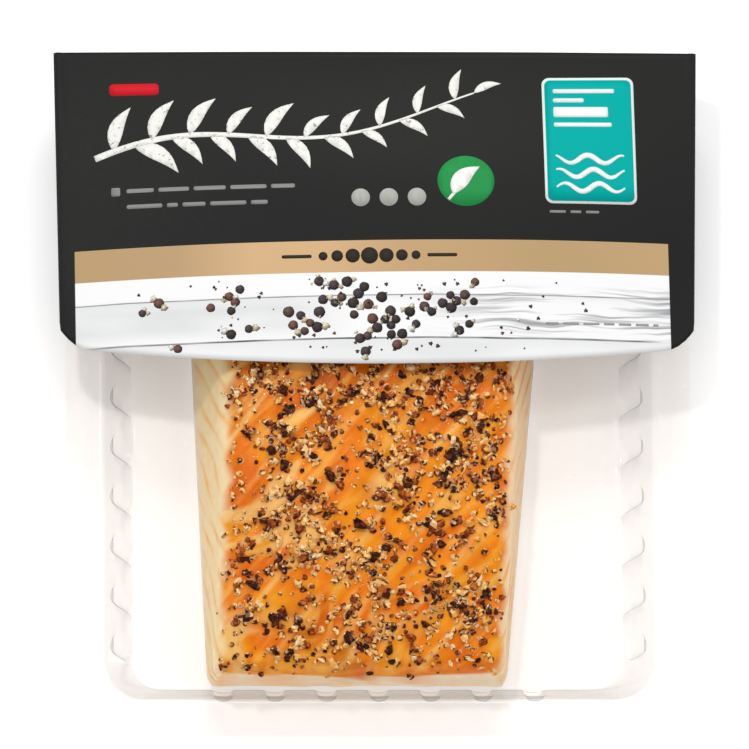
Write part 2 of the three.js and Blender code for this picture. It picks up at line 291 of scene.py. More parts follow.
def salmon():
    """Hot-smoked salmon: opaque pale flesh under a moist orange glaze, with slanting lighter and darker fibres."""
    material, tree, shader = finish("hot_smoked_salmon")
    colour = add(tree, "Attribute", out="Color", attribute_name="tone")
    glaze = add(tree, "Attribute", out="Fac", attribute_name="glaze")
    fine = stretched_noise(tree, (260, 260, 260), detail=4.0)
    slanted = add(tree, "Mapping", {"Vector": add(tree, "TexCoord", out="Object"), "Rotation": (0, 0, 0.8),
                                    "Scale": (0.019, 0.0026, 0.004)}, vector_type="TEXTURE")
    streak = add(tree, "TexNoise", {"Vector": slanted, "Scale": 1.0, "Detail": 4.0})
    for source, start, end, most, cover, code in (
            (fine, 0.45, 0.8, 0.25, 1.0, "ffa63c"), (fine, 0.5, 0.2, 0.18, glaze, "b85410"),
            (streak, 0.53, 0.7, 0.5, glaze, "ffba54"), (streak, 0.46, 0.3, 0.22, glaze, "c85606")):
        share = add(tree, "MapRange", [source, start, end, 0.0, most])
        colour = layered(tree, colour, (product(tree, share, cover), code))
    fibre = stretched_noise(tree, (500, 500, 500), detail=5.0, roughness=0.6)
    connect(tree, shader, {
        "Base Color": colour, "Roughness": 0.4, "Specular IOR Level": 0.05,
        "Subsurface Weight": 0.1, "Subsurface Scale": 0.002, "Subsurface Radius": (1.0, 0.45, 0.2),
        "Normal": add(tree, "Bump", {"Height": fibre, "Strength": 0.35, "Distance": 0.00025})})
    return material


def cracked_pepper(name, codes):
    """Cracked peppercorn under oily film: hard broken faces, each in its own tone, with dark specks of husk; lighter
    and darker faces are partly painted facet light, the lightest tone a painted glint.
    """
    material, tree, shader = finish(name)
    crumb = add(tree, "Attribute", out="Fac", attribute_name="crumb")
    base = add(tree, "ValToRGB", [crumb], stops=[(i / (len(codes) - 1), code) for i, code in enumerate(codes)])
    spots = stretched_noise(tree, (900, 900, 900))
    share = add(tree, "MapRange", [spots, 0.52, 0.72, 0.0, 0.45])
    connect(tree, shader, {
        "Base Color": layered(tree, base, (share, codes[0])), "Roughness": 0.3,
        "Specular IOR Level": 0.12, "Specular Tint": linear("ffd9a8"),
        "Normal": add(tree, "Bump", {"Height": spots, "Strength": 0.5, "Distance": 0.0002})})
    return material


def painted_crumb_line(name, roughness, alpha, *stops):
    """A thin line beside a crumb that lets some of the fish through: pale ones are painted highlights, dark ones
    painted shadow.
    """
    material, tree, shader = finish(name)
    tones = add(tree, "ValToRGB", [stretched_noise(tree, (300, 300, 300), detail=2.0)], stops=stops)
    connect(tree, shader, {"Base Color": tones, "Roughness": roughness, "Specular IOR Level": 0.3, "Alpha": alpha})
    return material


def clear_sheet(name, roughness, tint, slant, shine, base, edge, ripple=0.0):
    """Clear plastic seen through: mirror light and a faint body colour both grow where the sheet turns away.

    tint and slant colour what is seen through it, face on and at a slant; base and edge are the shares of shine.
    """
    material, tree, shader = finish(name)
    tree.nodes.remove(shader)
    facing = add(tree, "LayerWeight", {"Blend": 0.35}, out="Facing")
    steep, steeper = (add(tree, "Math", [facing, power], operation="POWER") for power in (2.5, 3.0))
    through = add(tree, "BsdfTransparent", {"Color": layered(tree, linear(tint), (steep, slant))})
    mirror = add(tree, "BsdfGlossy", {"Roughness": roughness, "Color": linear(shine)})
    if ripple:
        waves = stretched_noise(tree, (700, 700, 700), detail=2.0)
        relief = add(tree, "Bump", {"Height": waves, "Strength": ripple, "Distance": 0.0004})
        connect(tree, mirror.node, {"Normal": relief})
    share = add(tree, "Math", [steeper, edge, base], operation="MULTIPLY_ADD", use_clamp=True)
    both = add(tree, "MixShader", [share, through, mirror])
    connect(tree, tree.nodes["Material Output"], {"Surface": both})
    return material


def studio_floor():
    """Seamless white acrylic, faintly lit from below as for clear packs: matt and even."""
    material, tree, shader = finish("studio_acrylic")
    connect(tree, shader, {"Base Color": linear("ffffff"), "Roughness": 0.9, "Specular IOR Level": 0.0,
                           "Emission Color": linear("ffffff"), "Emission Strength": 0.25})
    return material


# ---------------------------------------------------------------- pieces

def in_scene(name, data):
    """A new object in the scene for this mesh, light or camera."""
    made = bpy.data.objects.new(name, data)
    bpy.context.scene.collection.objects.link(made)
    return made


def piece(name, bm, materials, replaces=None, smooth_faces=True):
    """A finished piece: its place is in its mesh, and it rides on the pack."""
    mesh = bpy.data.meshes.new(name)
    bm.to_mesh(mesh)
    bm.free()
    for polygon in mesh.polygons:
        polygon.use_smooth = smooth_faces
    for material in materials:
        mesh.materials.append(material)
    made = in_scene(name, mesh)
    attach(made, "root")
    if replaces:
        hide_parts(replaces)
    return made


def solidify(made, thickness, inner=0, rim=0, even=False):
    """Gives a sheet its thickness, behind its outer face; inner and rim are the numbers of the materials there."""
    wall = made.modifiers.new("wall", "SOLIDIFY")
    wall.thickness = thickness * MM
    wall.offset = -1.0
    wall.use_even_offset = even
    wall.material_offset = inner
    wall.material_offset_rim = rim


def scale_to_metres(bm):
    """Shapes are drawn in millimetres, and the scene is in metres."""
    bmesh.ops.scale(bm, vec=(MM, MM, MM), verts=bm.verts)


def face_up(bm):
    """Turns a sheet's faces so that it looks upward on the whole."""
    bmesh.ops.recalc_face_normals(bm, faces=bm.faces)
    if sum(face.normal.z * face.calc_area() for face in bm.faces) < 0:
        bmesh.ops.reverse_faces(bm, faces=bm.faces)


def drop(ground, x, y):
    """Where the plumb line at x, y in millimetres meets a surface, and which way the surface looks there."""
    place, normal, _, _ = ground.ray_cast(Vector((x, y, ABOVE)) * MM, Vector((0, 0, -1)))
    return place, normal


def drawn_out(bm, edges, steps, placed):
    """Extrudes an edge loop `steps` times; placed(vertex, step) gives each new vertex its place."""
    loop = list(edges)
    for step in range(1, steps + 1):
        grown = bmesh.ops.extrude_edge_only(bm, edges=loop)
        loop = [g for g in grown["geom"] if isinstance(g, bmesh.types.BMEdge)]
        verts = [g for g in grown["geom"] if isinstance(g, bmesh.types.BMVert)]
        for vert in verts:
            vert.co = placed(vert, step)
    return loop


# Card sleeve

def fold_x(y):
    """Half the width of the front between its folds: the sleeve widens toward its upper end."""
    return mix(FOLD_X_LOWER, FOLD_X_UPPER, (y - SLEEVE_MIDDLE_Y) / (SLEEVE_TOP_Y - SLEEVE_MIDDLE_Y))


def front_z(x, y):
    """Height of the board's outer face on the front, with the slow waves of a handled carton."""
    bulge = mix(BULGE_LOWER, BULGE_UPPER, smooth(y, BULGE_FULL_Y, SLEEVE_TOP_Y))
    share = min(1.0, abs(x) / fold_x(y))
    wave_height, wave_x, wave_y = 0.22, 34, 40
    wave = wave_height * patchy(x, y, wave_x, wave_y, 3.1) * (1 - share ** 4)
    return FOLD_Z + bulge * (1 - share ** BULGE_POWER) + wave


def cut_y(x, z):
    """Where the board is cut at its lower end: arched in front, with rounded corners, and set back elsewhere."""
    arch_rise, arch_half, arch_power = 4.8, 77.6, 2.07
    corner_rise, corner_start, corner_run, corner_power = 7.0, 83.5, 9.4, 2.2
    if z < FOLD_Z - 0.6:
        return SLEEVE_BACK_Y
    arch = arch_rise * (abs(x) / arch_half) ** arch_power
    corner = corner_rise * max(0.0, (abs(x) - corner_start) / corner_run) ** corner_power
    return min(SLEEVE_BACK_Y, SLEEVE_MIDDLE_Y + arch + corner)


def make_sleeve():
    """A loop of board, drawn out along the pack; the glued seam is a step in its back."""
    bm = bmesh.new()
    seam_x, seam_step = 42.0, 0.28
    front_x = FOLD_X_LOWER - 3.4
    levels = 54
    section = [(-BACK_X, 0), (-40, 0), (0, 0), (seam_x, 0), (seam_x + 0.05, seam_step), (BACK_X, seam_step),
               (FOLD_X_LOWER, FOLD_Z)]
    section += [(x, front_z(x, 0)) for x in (mix(front_x, -front_x, share) for share in shares(84))]
    section += [(-FOLD_X_LOWER, FOLD_Z)]
    order = bm.verts.layers.float_vector.new("section")
    verts = [bm.verts.new((x, 0, z)) for x, z in section]
    for a, b in zip(verts, verts[1:] + verts[:1]):
        bm.edges.new((a, b))
    back_round, front_round = 2.4, 2.2
    for number, radius in ((0, back_round), (5, back_round), (6, front_round), (len(verts) - 1, front_round)):
        bmesh.ops.bevel(bm, geom=[verts[number]], offset=radius, segments=7, profile=0.5, affect="VERTICES",
                        material=-1)
    for vert in bm.verts:
        vert[order] = vert.co

    def placed(vert, level):
        x, _, z = vert[order]
        y = mix(cut_y(x, z), SLEEVE_TOP_Y, level / levels)
        widen = fold_x(y) / FOLD_X_LOWER
        if z >= FOLD_Z and abs(x) <= front_x + 0.01:
            return (x * widen, y, front_z(x * widen, y))
        return (x * mix(1.0, widen, min(1.0, z / FOLD_Z)), y, z)

    drawn_out(bm, bm.edges, levels, placed)
    for vert in list(bm.verts):
        if abs(vert.co.y) < 1e-6:
            vert.co = placed(vert, 0)
    bmesh.ops.recalc_face_normals(bm, faces=bm.faces)
    scale_to_metres(bm)
    made = piece("card_sleeve_board", bm, [PRINTED, RAW_INSIDE, RAW_EDGE], "card_sleeve")
    solidify(made, BOARD, inner=1, rim=2, even=True)


# Print on the sleeve's front, laid on the board as thin films of ink

def on_board(bm, lift=INK):
    """Lays a flat drawing in the print's own millimetres onto the front of the board."""
    bmesh.ops.rotate(bm, verts=bm.verts, matrix=Matrix.Rotation(PRINT_TURN, 3, "Z"))
    bmesh.ops.translate(bm, verts=bm.verts, vec=(PRINT_SHIFT, 0, 0))
    for vert in bm.verts:
        vert.co.z += front_z(vert.co.x, vert.co.y) + lift
    scale_to_metres(bm)


def rounded_box(bm, x0, y0, x1, y1, radius, steps=6):
    """A rectangle whose corners are bevelled round."""
    corners = [bm.verts.new((x, y, 0)) for x, y in ((x0, y0), (x1, y0), (x1, y1), (x0, y1))]
    bm.faces.new(corners)
    bmesh.ops.bevel(bm, geom=corners, offset=radius, segments=steps, profile=0.5, affect="VERTICES", material=-1)


def ellipse(bm, x, y, half_x, half_y, segments=32):
    """A filled ellipse."""
    matrix = Matrix.Translation((x, y, 0)) @ Matrix.Diagonal((half_x, half_y, 1, 1))
    bmesh.ops.create_circle(bm, cap_ends=True, segments=segments, radius=1.0, matrix=matrix)


def ribbon(bm, points, widths):
    """A stroke along points, as wide as `widths` says at each of them."""
    left, right = [], []
    for i, (x, y) in enumerate(points):
        ahead = points[min(i + 1, len(points) - 1)]
        behind = points[max(i - 1, 0)]
        run = Vector((ahead[0] - behind[0], ahead[1] - behind[1])).normalized()
        side = Vector((-run.y, run.x)) * widths[i] / 2
        left.append(bm.verts.new((x + side.x, y + side.y, 0)))
        right.append(bm.verts.new((x - side.x, y - side.y, 0)))
    for i in range(len(points) - 1):
        bm.faces.new((right[i], right[i + 1], left[i + 1], left[i]))


def leaf(bm, x, y, length, width, turn, steps=8):
    """A pointed leaf whose stalk end is at x, y."""
    points, widths = [], []
    for share in shares(steps):
        bend = 0.12 * length * math.sin(math.pi * share)
        points.append((x + math.cos(turn) * share * length - math.sin(turn) * bend,
                       y + math.sin(turn) * share * length + math.cos(turn) * bend))
        widths.append(max(0.05, width * math.sin(math.pi * share ** 0.8)))
    ribbon(bm, points, widths)


def dashes(bm, x0, x1, y, height, draw, longest=11.0):
    """A row of plain short bars, where small print would be."""
    gap = 1.3
    x = x0
    while x < x1 - 1.5:
        length = min(draw.uniform(3.0, longest), x1 - x)
        rounded_box(bm, x, y - height / 2, x + length, y + height / 2, height * 0.35, steps=2)
        x += length + gap


def printed_piece(name, ink, shapes, lift=INK):
    """Shapes in one ink, each a function and its values, split finely enough to bend with the board."""
    bm = bmesh.new()
    for shape, *values in shapes:
        shape(bm, *values)
    for axis, pitch in ((0, 2.5), (1, 5.0)):
        spots = [vert.co[axis] for vert in bm.verts]
        normal = Vector((1 - axis, axis, 0))
        place = min(spots) + pitch
        while place < max(spots):
            bmesh.ops.bisect_plane(bm, geom=bm.verts[:] + bm.edges[:] + bm.faces[:], dist=1e-4,
                                   plane_co=normal * place, plane_no=normal)
            place += pitch
    face_up(bm)
    on_board(bm, lift)
    made = piece(name, bm, [ink])
    solidify(made, INK_WALL)


def print_sprig():
    """A white brushed sprig rises across the charcoal field."""
    draw = random.Random(11)
    count = 60
    stem, widths = [], []
    for share in shares(count):
        stem.append((mix(-80, 31, share), 69.5 + 17.5 * share + 4.2 * math.sin(share * 6.6 + 0.4)))
        widths.append(mix(2.0, 0.5, share))
    shapes = [(ribbon, stem, widths)]
    for i in range(3, count, 3):
        x, y = stem[i]
        run = math.atan2(stem[i + 1][1] - y, stem[i + 1][0] - x)
        side = 1 if (i // 3) % 2 else -1
        size = mix(15.5, 8.5, i / count) * draw.uniform(0.85, 1.1)
        shapes.append((leaf, x, y, size, 0.3 * size, run + side * draw.uniform(0.75, 1.0)))
    shapes.append((leaf, *stem[-1], 8.5, 2.4, 0.35))
    printed_piece("ink_white_sprig", flat_ink("white_offset_ink", "f3f2ec", worn=0.6), shapes)


def print_bars():
    """Plain grey bars, discs and a box in the places of the small print, and a red bar."""
    grey = flat_ink("grey_offset_ink", "8f908d")
    draw = random.Random(5)
    printed_piece("ink_grey_bars", grey, [
        (dashes, -71.0, -22.0, 60.8, 1.25, draw), (dashes, -71.0, -30.0, 56.0, 1.25, draw),
        (rounded_box, -75.4, 59.4, -72.8, 62.0, 0.4, 2)])
    printed_piece("ink_grey_discs", flat_ink("warm_grey_offset_ink", "b9b9b3"),
                  [(ellipse, -3.0 + 8.2 * i, 56.8, 2.7, 2.7) for i in range(3)])
    printed_piece("ink_grey_footnote", grey, [(dashes, 52.0, 67.0, 52.4, 0.8, draw, 5.0)])
    printed_piece("ink_plank_footnote", flat_ink("light_grey_offset_ink", "a2a2a2"),
                  [(dashes, 50.0, 83.0, 18.6, 0.7, draw, 6.0)])
    printed_piece("ink_red_bar", flat_ink("red_offset_ink", "d8232e"), [(rounded_box, -75.5, 90.6, -61.0, 94.2, 1.2)])


def print_oval():
    """A green oval with a plain white leaf."""
    printed_piece("ink_green_oval", flat_ink("green_offset_ink", "2c9650"), [(ellipse, 27.8, 61.7, 8.3, 7.8, 56)])
    stalk = [(22.6, 55.9), (23.4, 56.9), (24.4, 58.0)]
    printed_piece("ink_oval_leaf", flat_ink("white_offset_ink_leaf", "f6f7f2"),
                  [(leaf, 24.0, 57.6, 11.6, 5.0, 0.82, 16), (ribbon, stalk, [0.9] * 3)], INK + OVERPRINT)


def print_panel():
    """A teal panel with a white border, bars and plain waves."""
    left, low, right, high, border = 50.9, 54.9, 77.8, 94.4, 0.75
    white = flat_ink("white_offset_ink_panel", "f4f8f6")
    printed_piece("ink_panel_white", white, [(rounded_box, left, low, right, high, 2.2)])
    printed_piece("ink_panel_teal", flat_ink("teal_offset_ink", "00aea8"), [
        (rounded_box, left + border, low + border, right - border, high - border, 1.7)], INK + OVERPRINT)
    marks = []
    for length, height, down in ((18.0, 1.3, 4.2), (9.0, 1.3, 7.1), (16.0, 3.2, 10.8), (17.0, 1.3, 14.8)):
        y = high - down
        marks.append((rounded_box, left + 3.2, y - height / 2, left + 3.2 + length, y + height / 2, 0.4, 2))
    for row in range(3):
        wave = [(mix(left + 3.4, right - 3.4, share),
                 low + 5.0 + 4.4 * row + 1.25 * math.sin(share * 4 * math.pi + row)) for share in shares(40)]
        marks.append((ribbon, wave, [0.5 + 1.1 * math.sin(math.pi * share) for share in shares(40)]))
    printed_piece("ink_panel_marks", white, marks, INK + 2 * OVERPRINT)


def print_band_marks():
    """A row of plain dark dots between two rules on the tan band."""
    middle, y = -0.8, 39.2
    shapes = []
    for away, radius in ((-13.5, 1.3), (-9.4, 1.7), (-4.9, 2.1), (0.0, 2.5), (4.9, 2.1), (9.4, 1.7), (13.5, 1.3)):
        shapes.append((ellipse, middle + away, y, radius, radius, 28))
    for rule_left in (-25.5, 16.8):
        shapes.append((rounded_box, middle + rule_left, y - 0.5, middle + rule_left + 8.7, y + 0.5, 0.4, 2))
    printed_piece("ink_band_dots", flat_ink("dark_offset_ink", "38332c"), shapes)


def pepper_spots(draw):
    """Where the pictured peppercorns lie on the printed planks: loose heaps of (x, y, spread, count) and strays."""
    heaps = ((-4.0, 26.0, 6.5, 20), (3.0, 17.0, 7.0, 20), (23.0, 26.0, 5.5, 14), (-21.0, 18.5, 5.0, 14),
             (27.0, 17.5, 3.5, 5), (-41.0, 26.5, 3.0, 6), (-15.0, 29.5, 8.0, 8), (12.0, 23.0, 6.0, 9))
    spots = []
    for x, y, spread, count in heaps:
        for _ in range(count):
            spots.append((draw.gauss(x, spread * 0.5), draw.gauss(y, spread * 0.36), draw.uniform(1.25, 1.72)))
    for _ in range(17):
        spots.append((draw.uniform(-70, 52), draw.uniform(9.5, 32.5), draw.uniform(1.1, 1.55)))
    kept = []
    for x, y, radius in spots:
        if y > 33.2 - radius or y < 8.6 + PRINT_ARCH * x * x + radius or abs(x) > 84:
            continue
        if all(math.hypot(x - a, y - b) > 0.82 * (radius + r) for a, b, r in kept):
            kept.append((x, y, radius))
    return kept


def printed_corn(bm, tone, draw, x, y, radius, code, lumps, highlight):
    """One pictured peppercorn: a flat lumpy disc in rings, tinted as a ball that is lit from the upper left."""
    ring_shares, segments = (0.42, 0.78, 1.0), 14
    phase = draw.uniform(0, 6.28)
    rings = []
    for share in ring_shares:
        ring = []
        for i in range(segments):
            angle = math.tau * i / segments
            wobble = 1 + 0.5 * lumps * (math.sin(3 * angle + phase) + math.sin(5 * angle - 2 * phase))
            reach = radius * share * wobble
            ring.append(bm.verts.new((x + reach * math.cos(angle), y + reach * math.sin(angle), 0)))
        rings.append(ring)
    middle = bm.verts.new((x - 0.12 * radius, y + 0.18 * radius, 0))
    faces = []
    for i in range(segments):
        j = (i + 1) % segments
        faces.append(bm.faces.new((middle, rings[0][i], rings[0][j])))
        for inner, outer in zip(rings, rings[1:]):
            faces.append(bm.faces.new((inner[i], outer[i], outer[j], inner[j])))
    light = Vector((-0.5, 0.75)).normalized()
    for face in faces:
        for loop in face.loops:
            away = Vector((loop.vert.co.x - x, loop.vert.co.y - y)) / radius
            glint = highlight * max(0.0, 1 - (away - light * 0.4).length * 2.2)
            lit = clamp(0.55 + 0.5 * away.dot(light) - 0.35 * away.length_squared + glint)
            loop[tone] = [clamp(c * mix(0.25, 1.9, lit)) for c in linear(code)[:3]] + [1.0]


def print_peppercorns():
    """Dark printed corns with pale broken bits beside them and a sprinkle of dust."""
    dark = ("4a3c3d", "3d3335", "5c453f", "6e4b40", "44393f", "38322f")
    pale = ("ece2cc", "e2d2b4", "f5efe0", "d9c6a6")
    draw = random.Random(2024)
    spots = pepper_spots(draw)
    bm = bmesh.new()
    tone = bm.loops.layers.float_color.new("tone")
    for x, y, radius in spots:
        printed_corn(bm, tone, draw, x, y, radius, draw.choice(dark), 0.06, 0.35)
    for x, y, radius in spots:
        for _ in range(draw.choice((0, 0, 1, 1, 2))):
            angle = draw.uniform(0, 6.28)
            size = draw.uniform(0.5, 1.2)
            away = radius + size * 0.7
            bit_x, bit_y = x + away * math.cos(angle), y + 0.8 * away * math.sin(angle)
            printed_corn(bm, tone, draw, bit_x, bit_y, size, draw.choice(pale), 0.3, 0.15)
    for _ in range(95):
        x, y = draw.gauss(0, 30), draw.uniform(10, 32.5)
        if abs(x) < 82 and y > 9.4 + PRINT_ARCH * x * x:
            printed_corn(bm, tone, draw, x, y, draw.uniform(0.2, 0.6), draw.choice(dark + pale[:1]), 0.4, 0.0)
    bm.normal_update()
    on_board(bm, INK + 0.01)
    made = piece("ink_printed_peppercorns", bm, [painted_ink("peppercorn_offset_inks")])
    solidify(made, INK_WALL)


# Clear tray

def tray_stations():
    """Places round the tray as (side or corner, along or turn, how far a rib stands out there)."""
    rib_half, per_rib, between_ribs, per_corner = 3.0, 10, 6.0, 16
    stations = []

    def side(name, middles, sign):
        for middle in middles:
            for i in range(per_rib + 1):
                offset = rib_half * (2 * i / per_rib - 1)
                height = math.sqrt(max(0.0, 1 - (offset / rib_half) ** 2)) ** 1.2
                stations.append((name, sign * (middle + offset), height))
            stations.append((name, sign * (middle + between_ribs), 0.0))

    def corner(sign_x, sign_y, start):
        for i in range(per_corner + 1):
            stations.append(((sign_x, sign_y), start + math.pi / 2 * i / per_corner, 0.0))

    # The middles of the ribs, across the ends and along the sides
    across = [15.0 * (i - 3) for i in range(7)]
    along = [-72.1 + 14.9 * i for i in range(10)]
    side("lower", across, 1)
    corner(1, -1, -math.pi / 2)
    side("right", along, 1)
    corner(1, 1, 0.0)
    side("upper", across, -1)
    corner(-1, 1, math.pi / 2)
    side("left", [-y for y in reversed(along)], -1)
    corner(-1, -1, math.pi)
    return stations


def tray_point(station, inset, z, rib):
    """A place on the tray at one station and one level of its profile."""
    kind, along, share = station
    half_x, half_y = TRAY_HALF_X - inset, TRAY_HALF_Y - inset
    rim_round, floor_round = 16.0, 9.0
    radius = mix(rim_round, floor_round, min(1.0, inset / (FLANGE + WALL_RUN)))
    out = share * rib
    if kind in ("lower", "upper"):
        sign = 1 if kind == "upper" else -1
        return (clamp(along, radius - half_x, half_x - radius), TRAY_Y + sign * (half_y + out), z)
    if kind in ("left", "right"):
        sign = 1 if kind == "right" else -1
        return (sign * (half_x + out), TRAY_Y + clamp(along, radius - half_y, half_y - radius), z)
    sign_x, sign_y = kind
    return (sign_x * (half_x - radius) + radius * math.cos(along),
            TRAY_Y + sign_y * (half_y - radius) + radius * math.sin(along), z)


def tray_profile():
    """Levels of the tray's inner face from the flange's edge to the floor: inset, height and rib depth."""
    edge = [(0.0, 0.7), (0.02, 0.05), (0.35, 0.0), (5.0, 0.0), (FLANGE - 1.0, 0.0), (FLANGE - 0.2, 0.12),
            (FLANGE + 0.45, 0.55), (FLANGE + 0.85, 1.4)]
    heel = [(0.75, 0.6, 2.0), (1.2, 0.18, 1.6), (2.0, 0.0, 0.9), (3.4, 0.0, 0.0)]
    foot, steps, rib_depth = FLANGE + WALL_RUN, 18, 2.2
    profile = [(inset, TRAY_RIM_Z - down, 0.0) for inset, down in edge]
    for i in range(1, steps + 1):
        up = 1 - i / steps
        z = mix(TRAY_FLOOR_Z + 1.2, TRAY_RIM_Z - edge[-1][1], up)
        profile.append((mix(foot + 0.5, edge[-1][0], up), z, rib_depth * smooth(up, 0.68, 0.5)))
    return profile + [(foot + inward, TRAY_FLOOR_Z + up, rib) for inward, up, rib in heel]


def make_tray():
    """The sheet is drawn down ring by ring from the cut lip of its flange and closed at the floor."""
    stations = tray_stations()
    profile = tray_profile()
    bm = bmesh.new()
    number = bm.verts.layers.int.new("station")
    first = bmesh.ops.create_circle(bm, cap_ends=False, segments=len(stations), radius=1.0)["verts"]
    for i, vert in enumerate(first):
        vert[number] = i
        vert.co = tray_point(stations[i], *profile[0])
    loop = drawn_out(bm, bm.edges, len(profile) - 1,
                     lambda vert, level: tray_point(stations[vert[number]], *profile[level]))
    bmesh.ops.contextual_create(bm, geom=loop)
    face_up(bm)
    scale_to_metres(bm)
    return piece("clear_tray_shell", bm, [CLEAR], "clear_tray")


# Salmon

def down_share(y):
    """How far a place is from the thickest part of the fillet toward its lower end."""
    return clamp((FISH_THICK_Y - y) / (FISH_THICK_Y - FISH_END_Y))


def top_left(y):
    """How far the upper face reaches to the left."""
    return 44.2 + 3.2 * down_share(y) ** 3


def top_right(y):
    """How far the upper face reaches to the right."""
    return 40.2 - 4.6 * down_share(y)


def thickness(y):
    """The fillet is thickest near its middle and falls off toward both ends."""
    up = max(0.0, (y - FISH_THICK_Y) / (FISH_FAR_Y - FISH_THICK_Y))
    return FISH_THICK - 10.6 * down_share(y) ** 2.3 - 5.0 * up ** 2


def flake_phase(x, y):
    """How many flakes lie before a place on the upper face; the lines between them wander a little."""
    lean, flake_width, wander = 0.9, 12.0, 2.4
    warp = wander * patchy(x, y, 30, 30, 7.7)
    return (y * math.cos(lean) - x * math.sin(lean) + warp) / flake_width


def fish_top(x, y):
    """Height of the upper face: a shallow dome with a soft swell over each flake."""
    side = top_left(y) if x < 0 else top_right(y)
    dome = 1.6 * (1 - min(1.0, abs(x) / side) ** 2)
    return FISH_BASE_Z + thickness(y) + dome + 0.35 * math.cos(math.tau * flake_phase(x, y))


def flank_line(x, y, up, shift=0.0):
    """1 on the lines that rise along the fillet's flanks, 0 halfway between them."""
    climb, spacing = (30.0 if x < 0 else 36.0), 9.6
    return abs((((y + climb * up) / spacing + shift) % 1.0) - 0.5) * 2


def rounded(before, at, after, tangent, steps):
    """A corner rounded by a cubic curve that starts and ends `tangent` away from it."""
    a = at + (before - at).normalized() * tangent
    d = at + (after - at).normalized() * tangent
    b, c = a.lerp(at, 0.6), d.lerp(at, 0.6)
    return [a * (1 - t) ** 3 + b * 3 * (1 - t) * (1 - t) * t + c * 3 * (1 - t) * t * t + d * t ** 3
            for t in shares(steps)]


BASE_STEPS, HEEL_STEPS, FLANK_STEPS, EDGE_STEPS, TOP_STEPS = 26, 6, 22, 12, 104


def fish_section(y):
    """Anticlockwise points across the fillet, each with how far up its flank it is (over 1 on the upper face)."""
    down = down_share(y)
    left, right = -54.2 + 4.4 * down, 46.8 - 9.3 * down
    foot_round, edge_round = 1.6, 6.0
    points = [(Vector((mix(left, right, i / BASE_STEPS), FISH_BASE_Z)), 0.0) for i in range(1, BASE_STEPS)]

    def flank(base, top, sign):
        foot, edge = Vector((base, FISH_BASE_Z)), Vector((top, fish_top(top, y)))
        inside = Vector((top - sign * 10, fish_top(top - sign * 10, y)))
        lower = rounded(Vector((base - sign * 10, FISH_BASE_Z)), foot, edge, foot_round, HEEL_STEPS)
        upper = rounded(foot, edge, inside, edge_round, EDGE_STEPS)
        side = [(p, 0.1 * i / HEEL_STEPS) for i, p in enumerate(lower)]
        for i in range(1, FLANK_STEPS):
            side.append((lower[-1].lerp(upper[0], i / FLANK_STEPS), mix(0.1, 0.8, i / FLANK_STEPS)))
        side += [(p, mix(0.8, 1.2, i / EDGE_STEPS)) for i, p in enumerate(upper)]
        return side

    points += flank(right, top_right(y), 1)
    for i in range(1, TOP_STEPS):
        x = mix(top_right(y) - edge_round, edge_round - top_left(y), i / TOP_STEPS)
        points.append((Vector((x, fish_top(x, y))), 1.3))
    points += reversed(flank(left, -top_left(y), -1))
    return points


def fish_rings():
    """Places along the fillet: position, and how much of the section is left on the flat ends."""
    rings = [(0.0, q) for q in (0.15, 0.35, 0.55, 0.7, 0.82, 0.9, 0.96)]
    near = [0.0, 0.25, 0.6, 1.1, 1.7, 2.4, 3.2]
    rings += [(d, 1.0) for d in near]
    start = 4.0
    rings += [(mix(start, FISH_LENGTH - start, share), 1.0) for share in shares(150)]
    rings += [(FISH_LENGTH - d, 1.0) for d in reversed(near)]
    rings += [(FISH_LENGTH, q) for q in (0.9, 0.7, 0.4, 0.15)]
    return rings


def colours(*codes):
    """Hex values as linear vectors, to be mixed."""
    return [Vector(linear(code)[:3]) for code in codes]


DEEP, AMBER, BRIGHT, PALE, BROWNED_AND_SHADED, GOLD = colours("f07408", "ff8c08", "ffa612", "ffd886", "b84e06", "ffc052")
LEFT_FLANK = colours("fff0c2", "ffb644", "fff8ee")
RIGHT_FLANK = colours("ffe8be", "ffb060", "fff6ee")
# OIL_STAIN_AND_SHADE darkens the glaze round crumbs: partly oil stain, partly painted shade
END_FACE, OIL_STAIN_AND_SHADE = colours("fff0d4", "9c3c02")


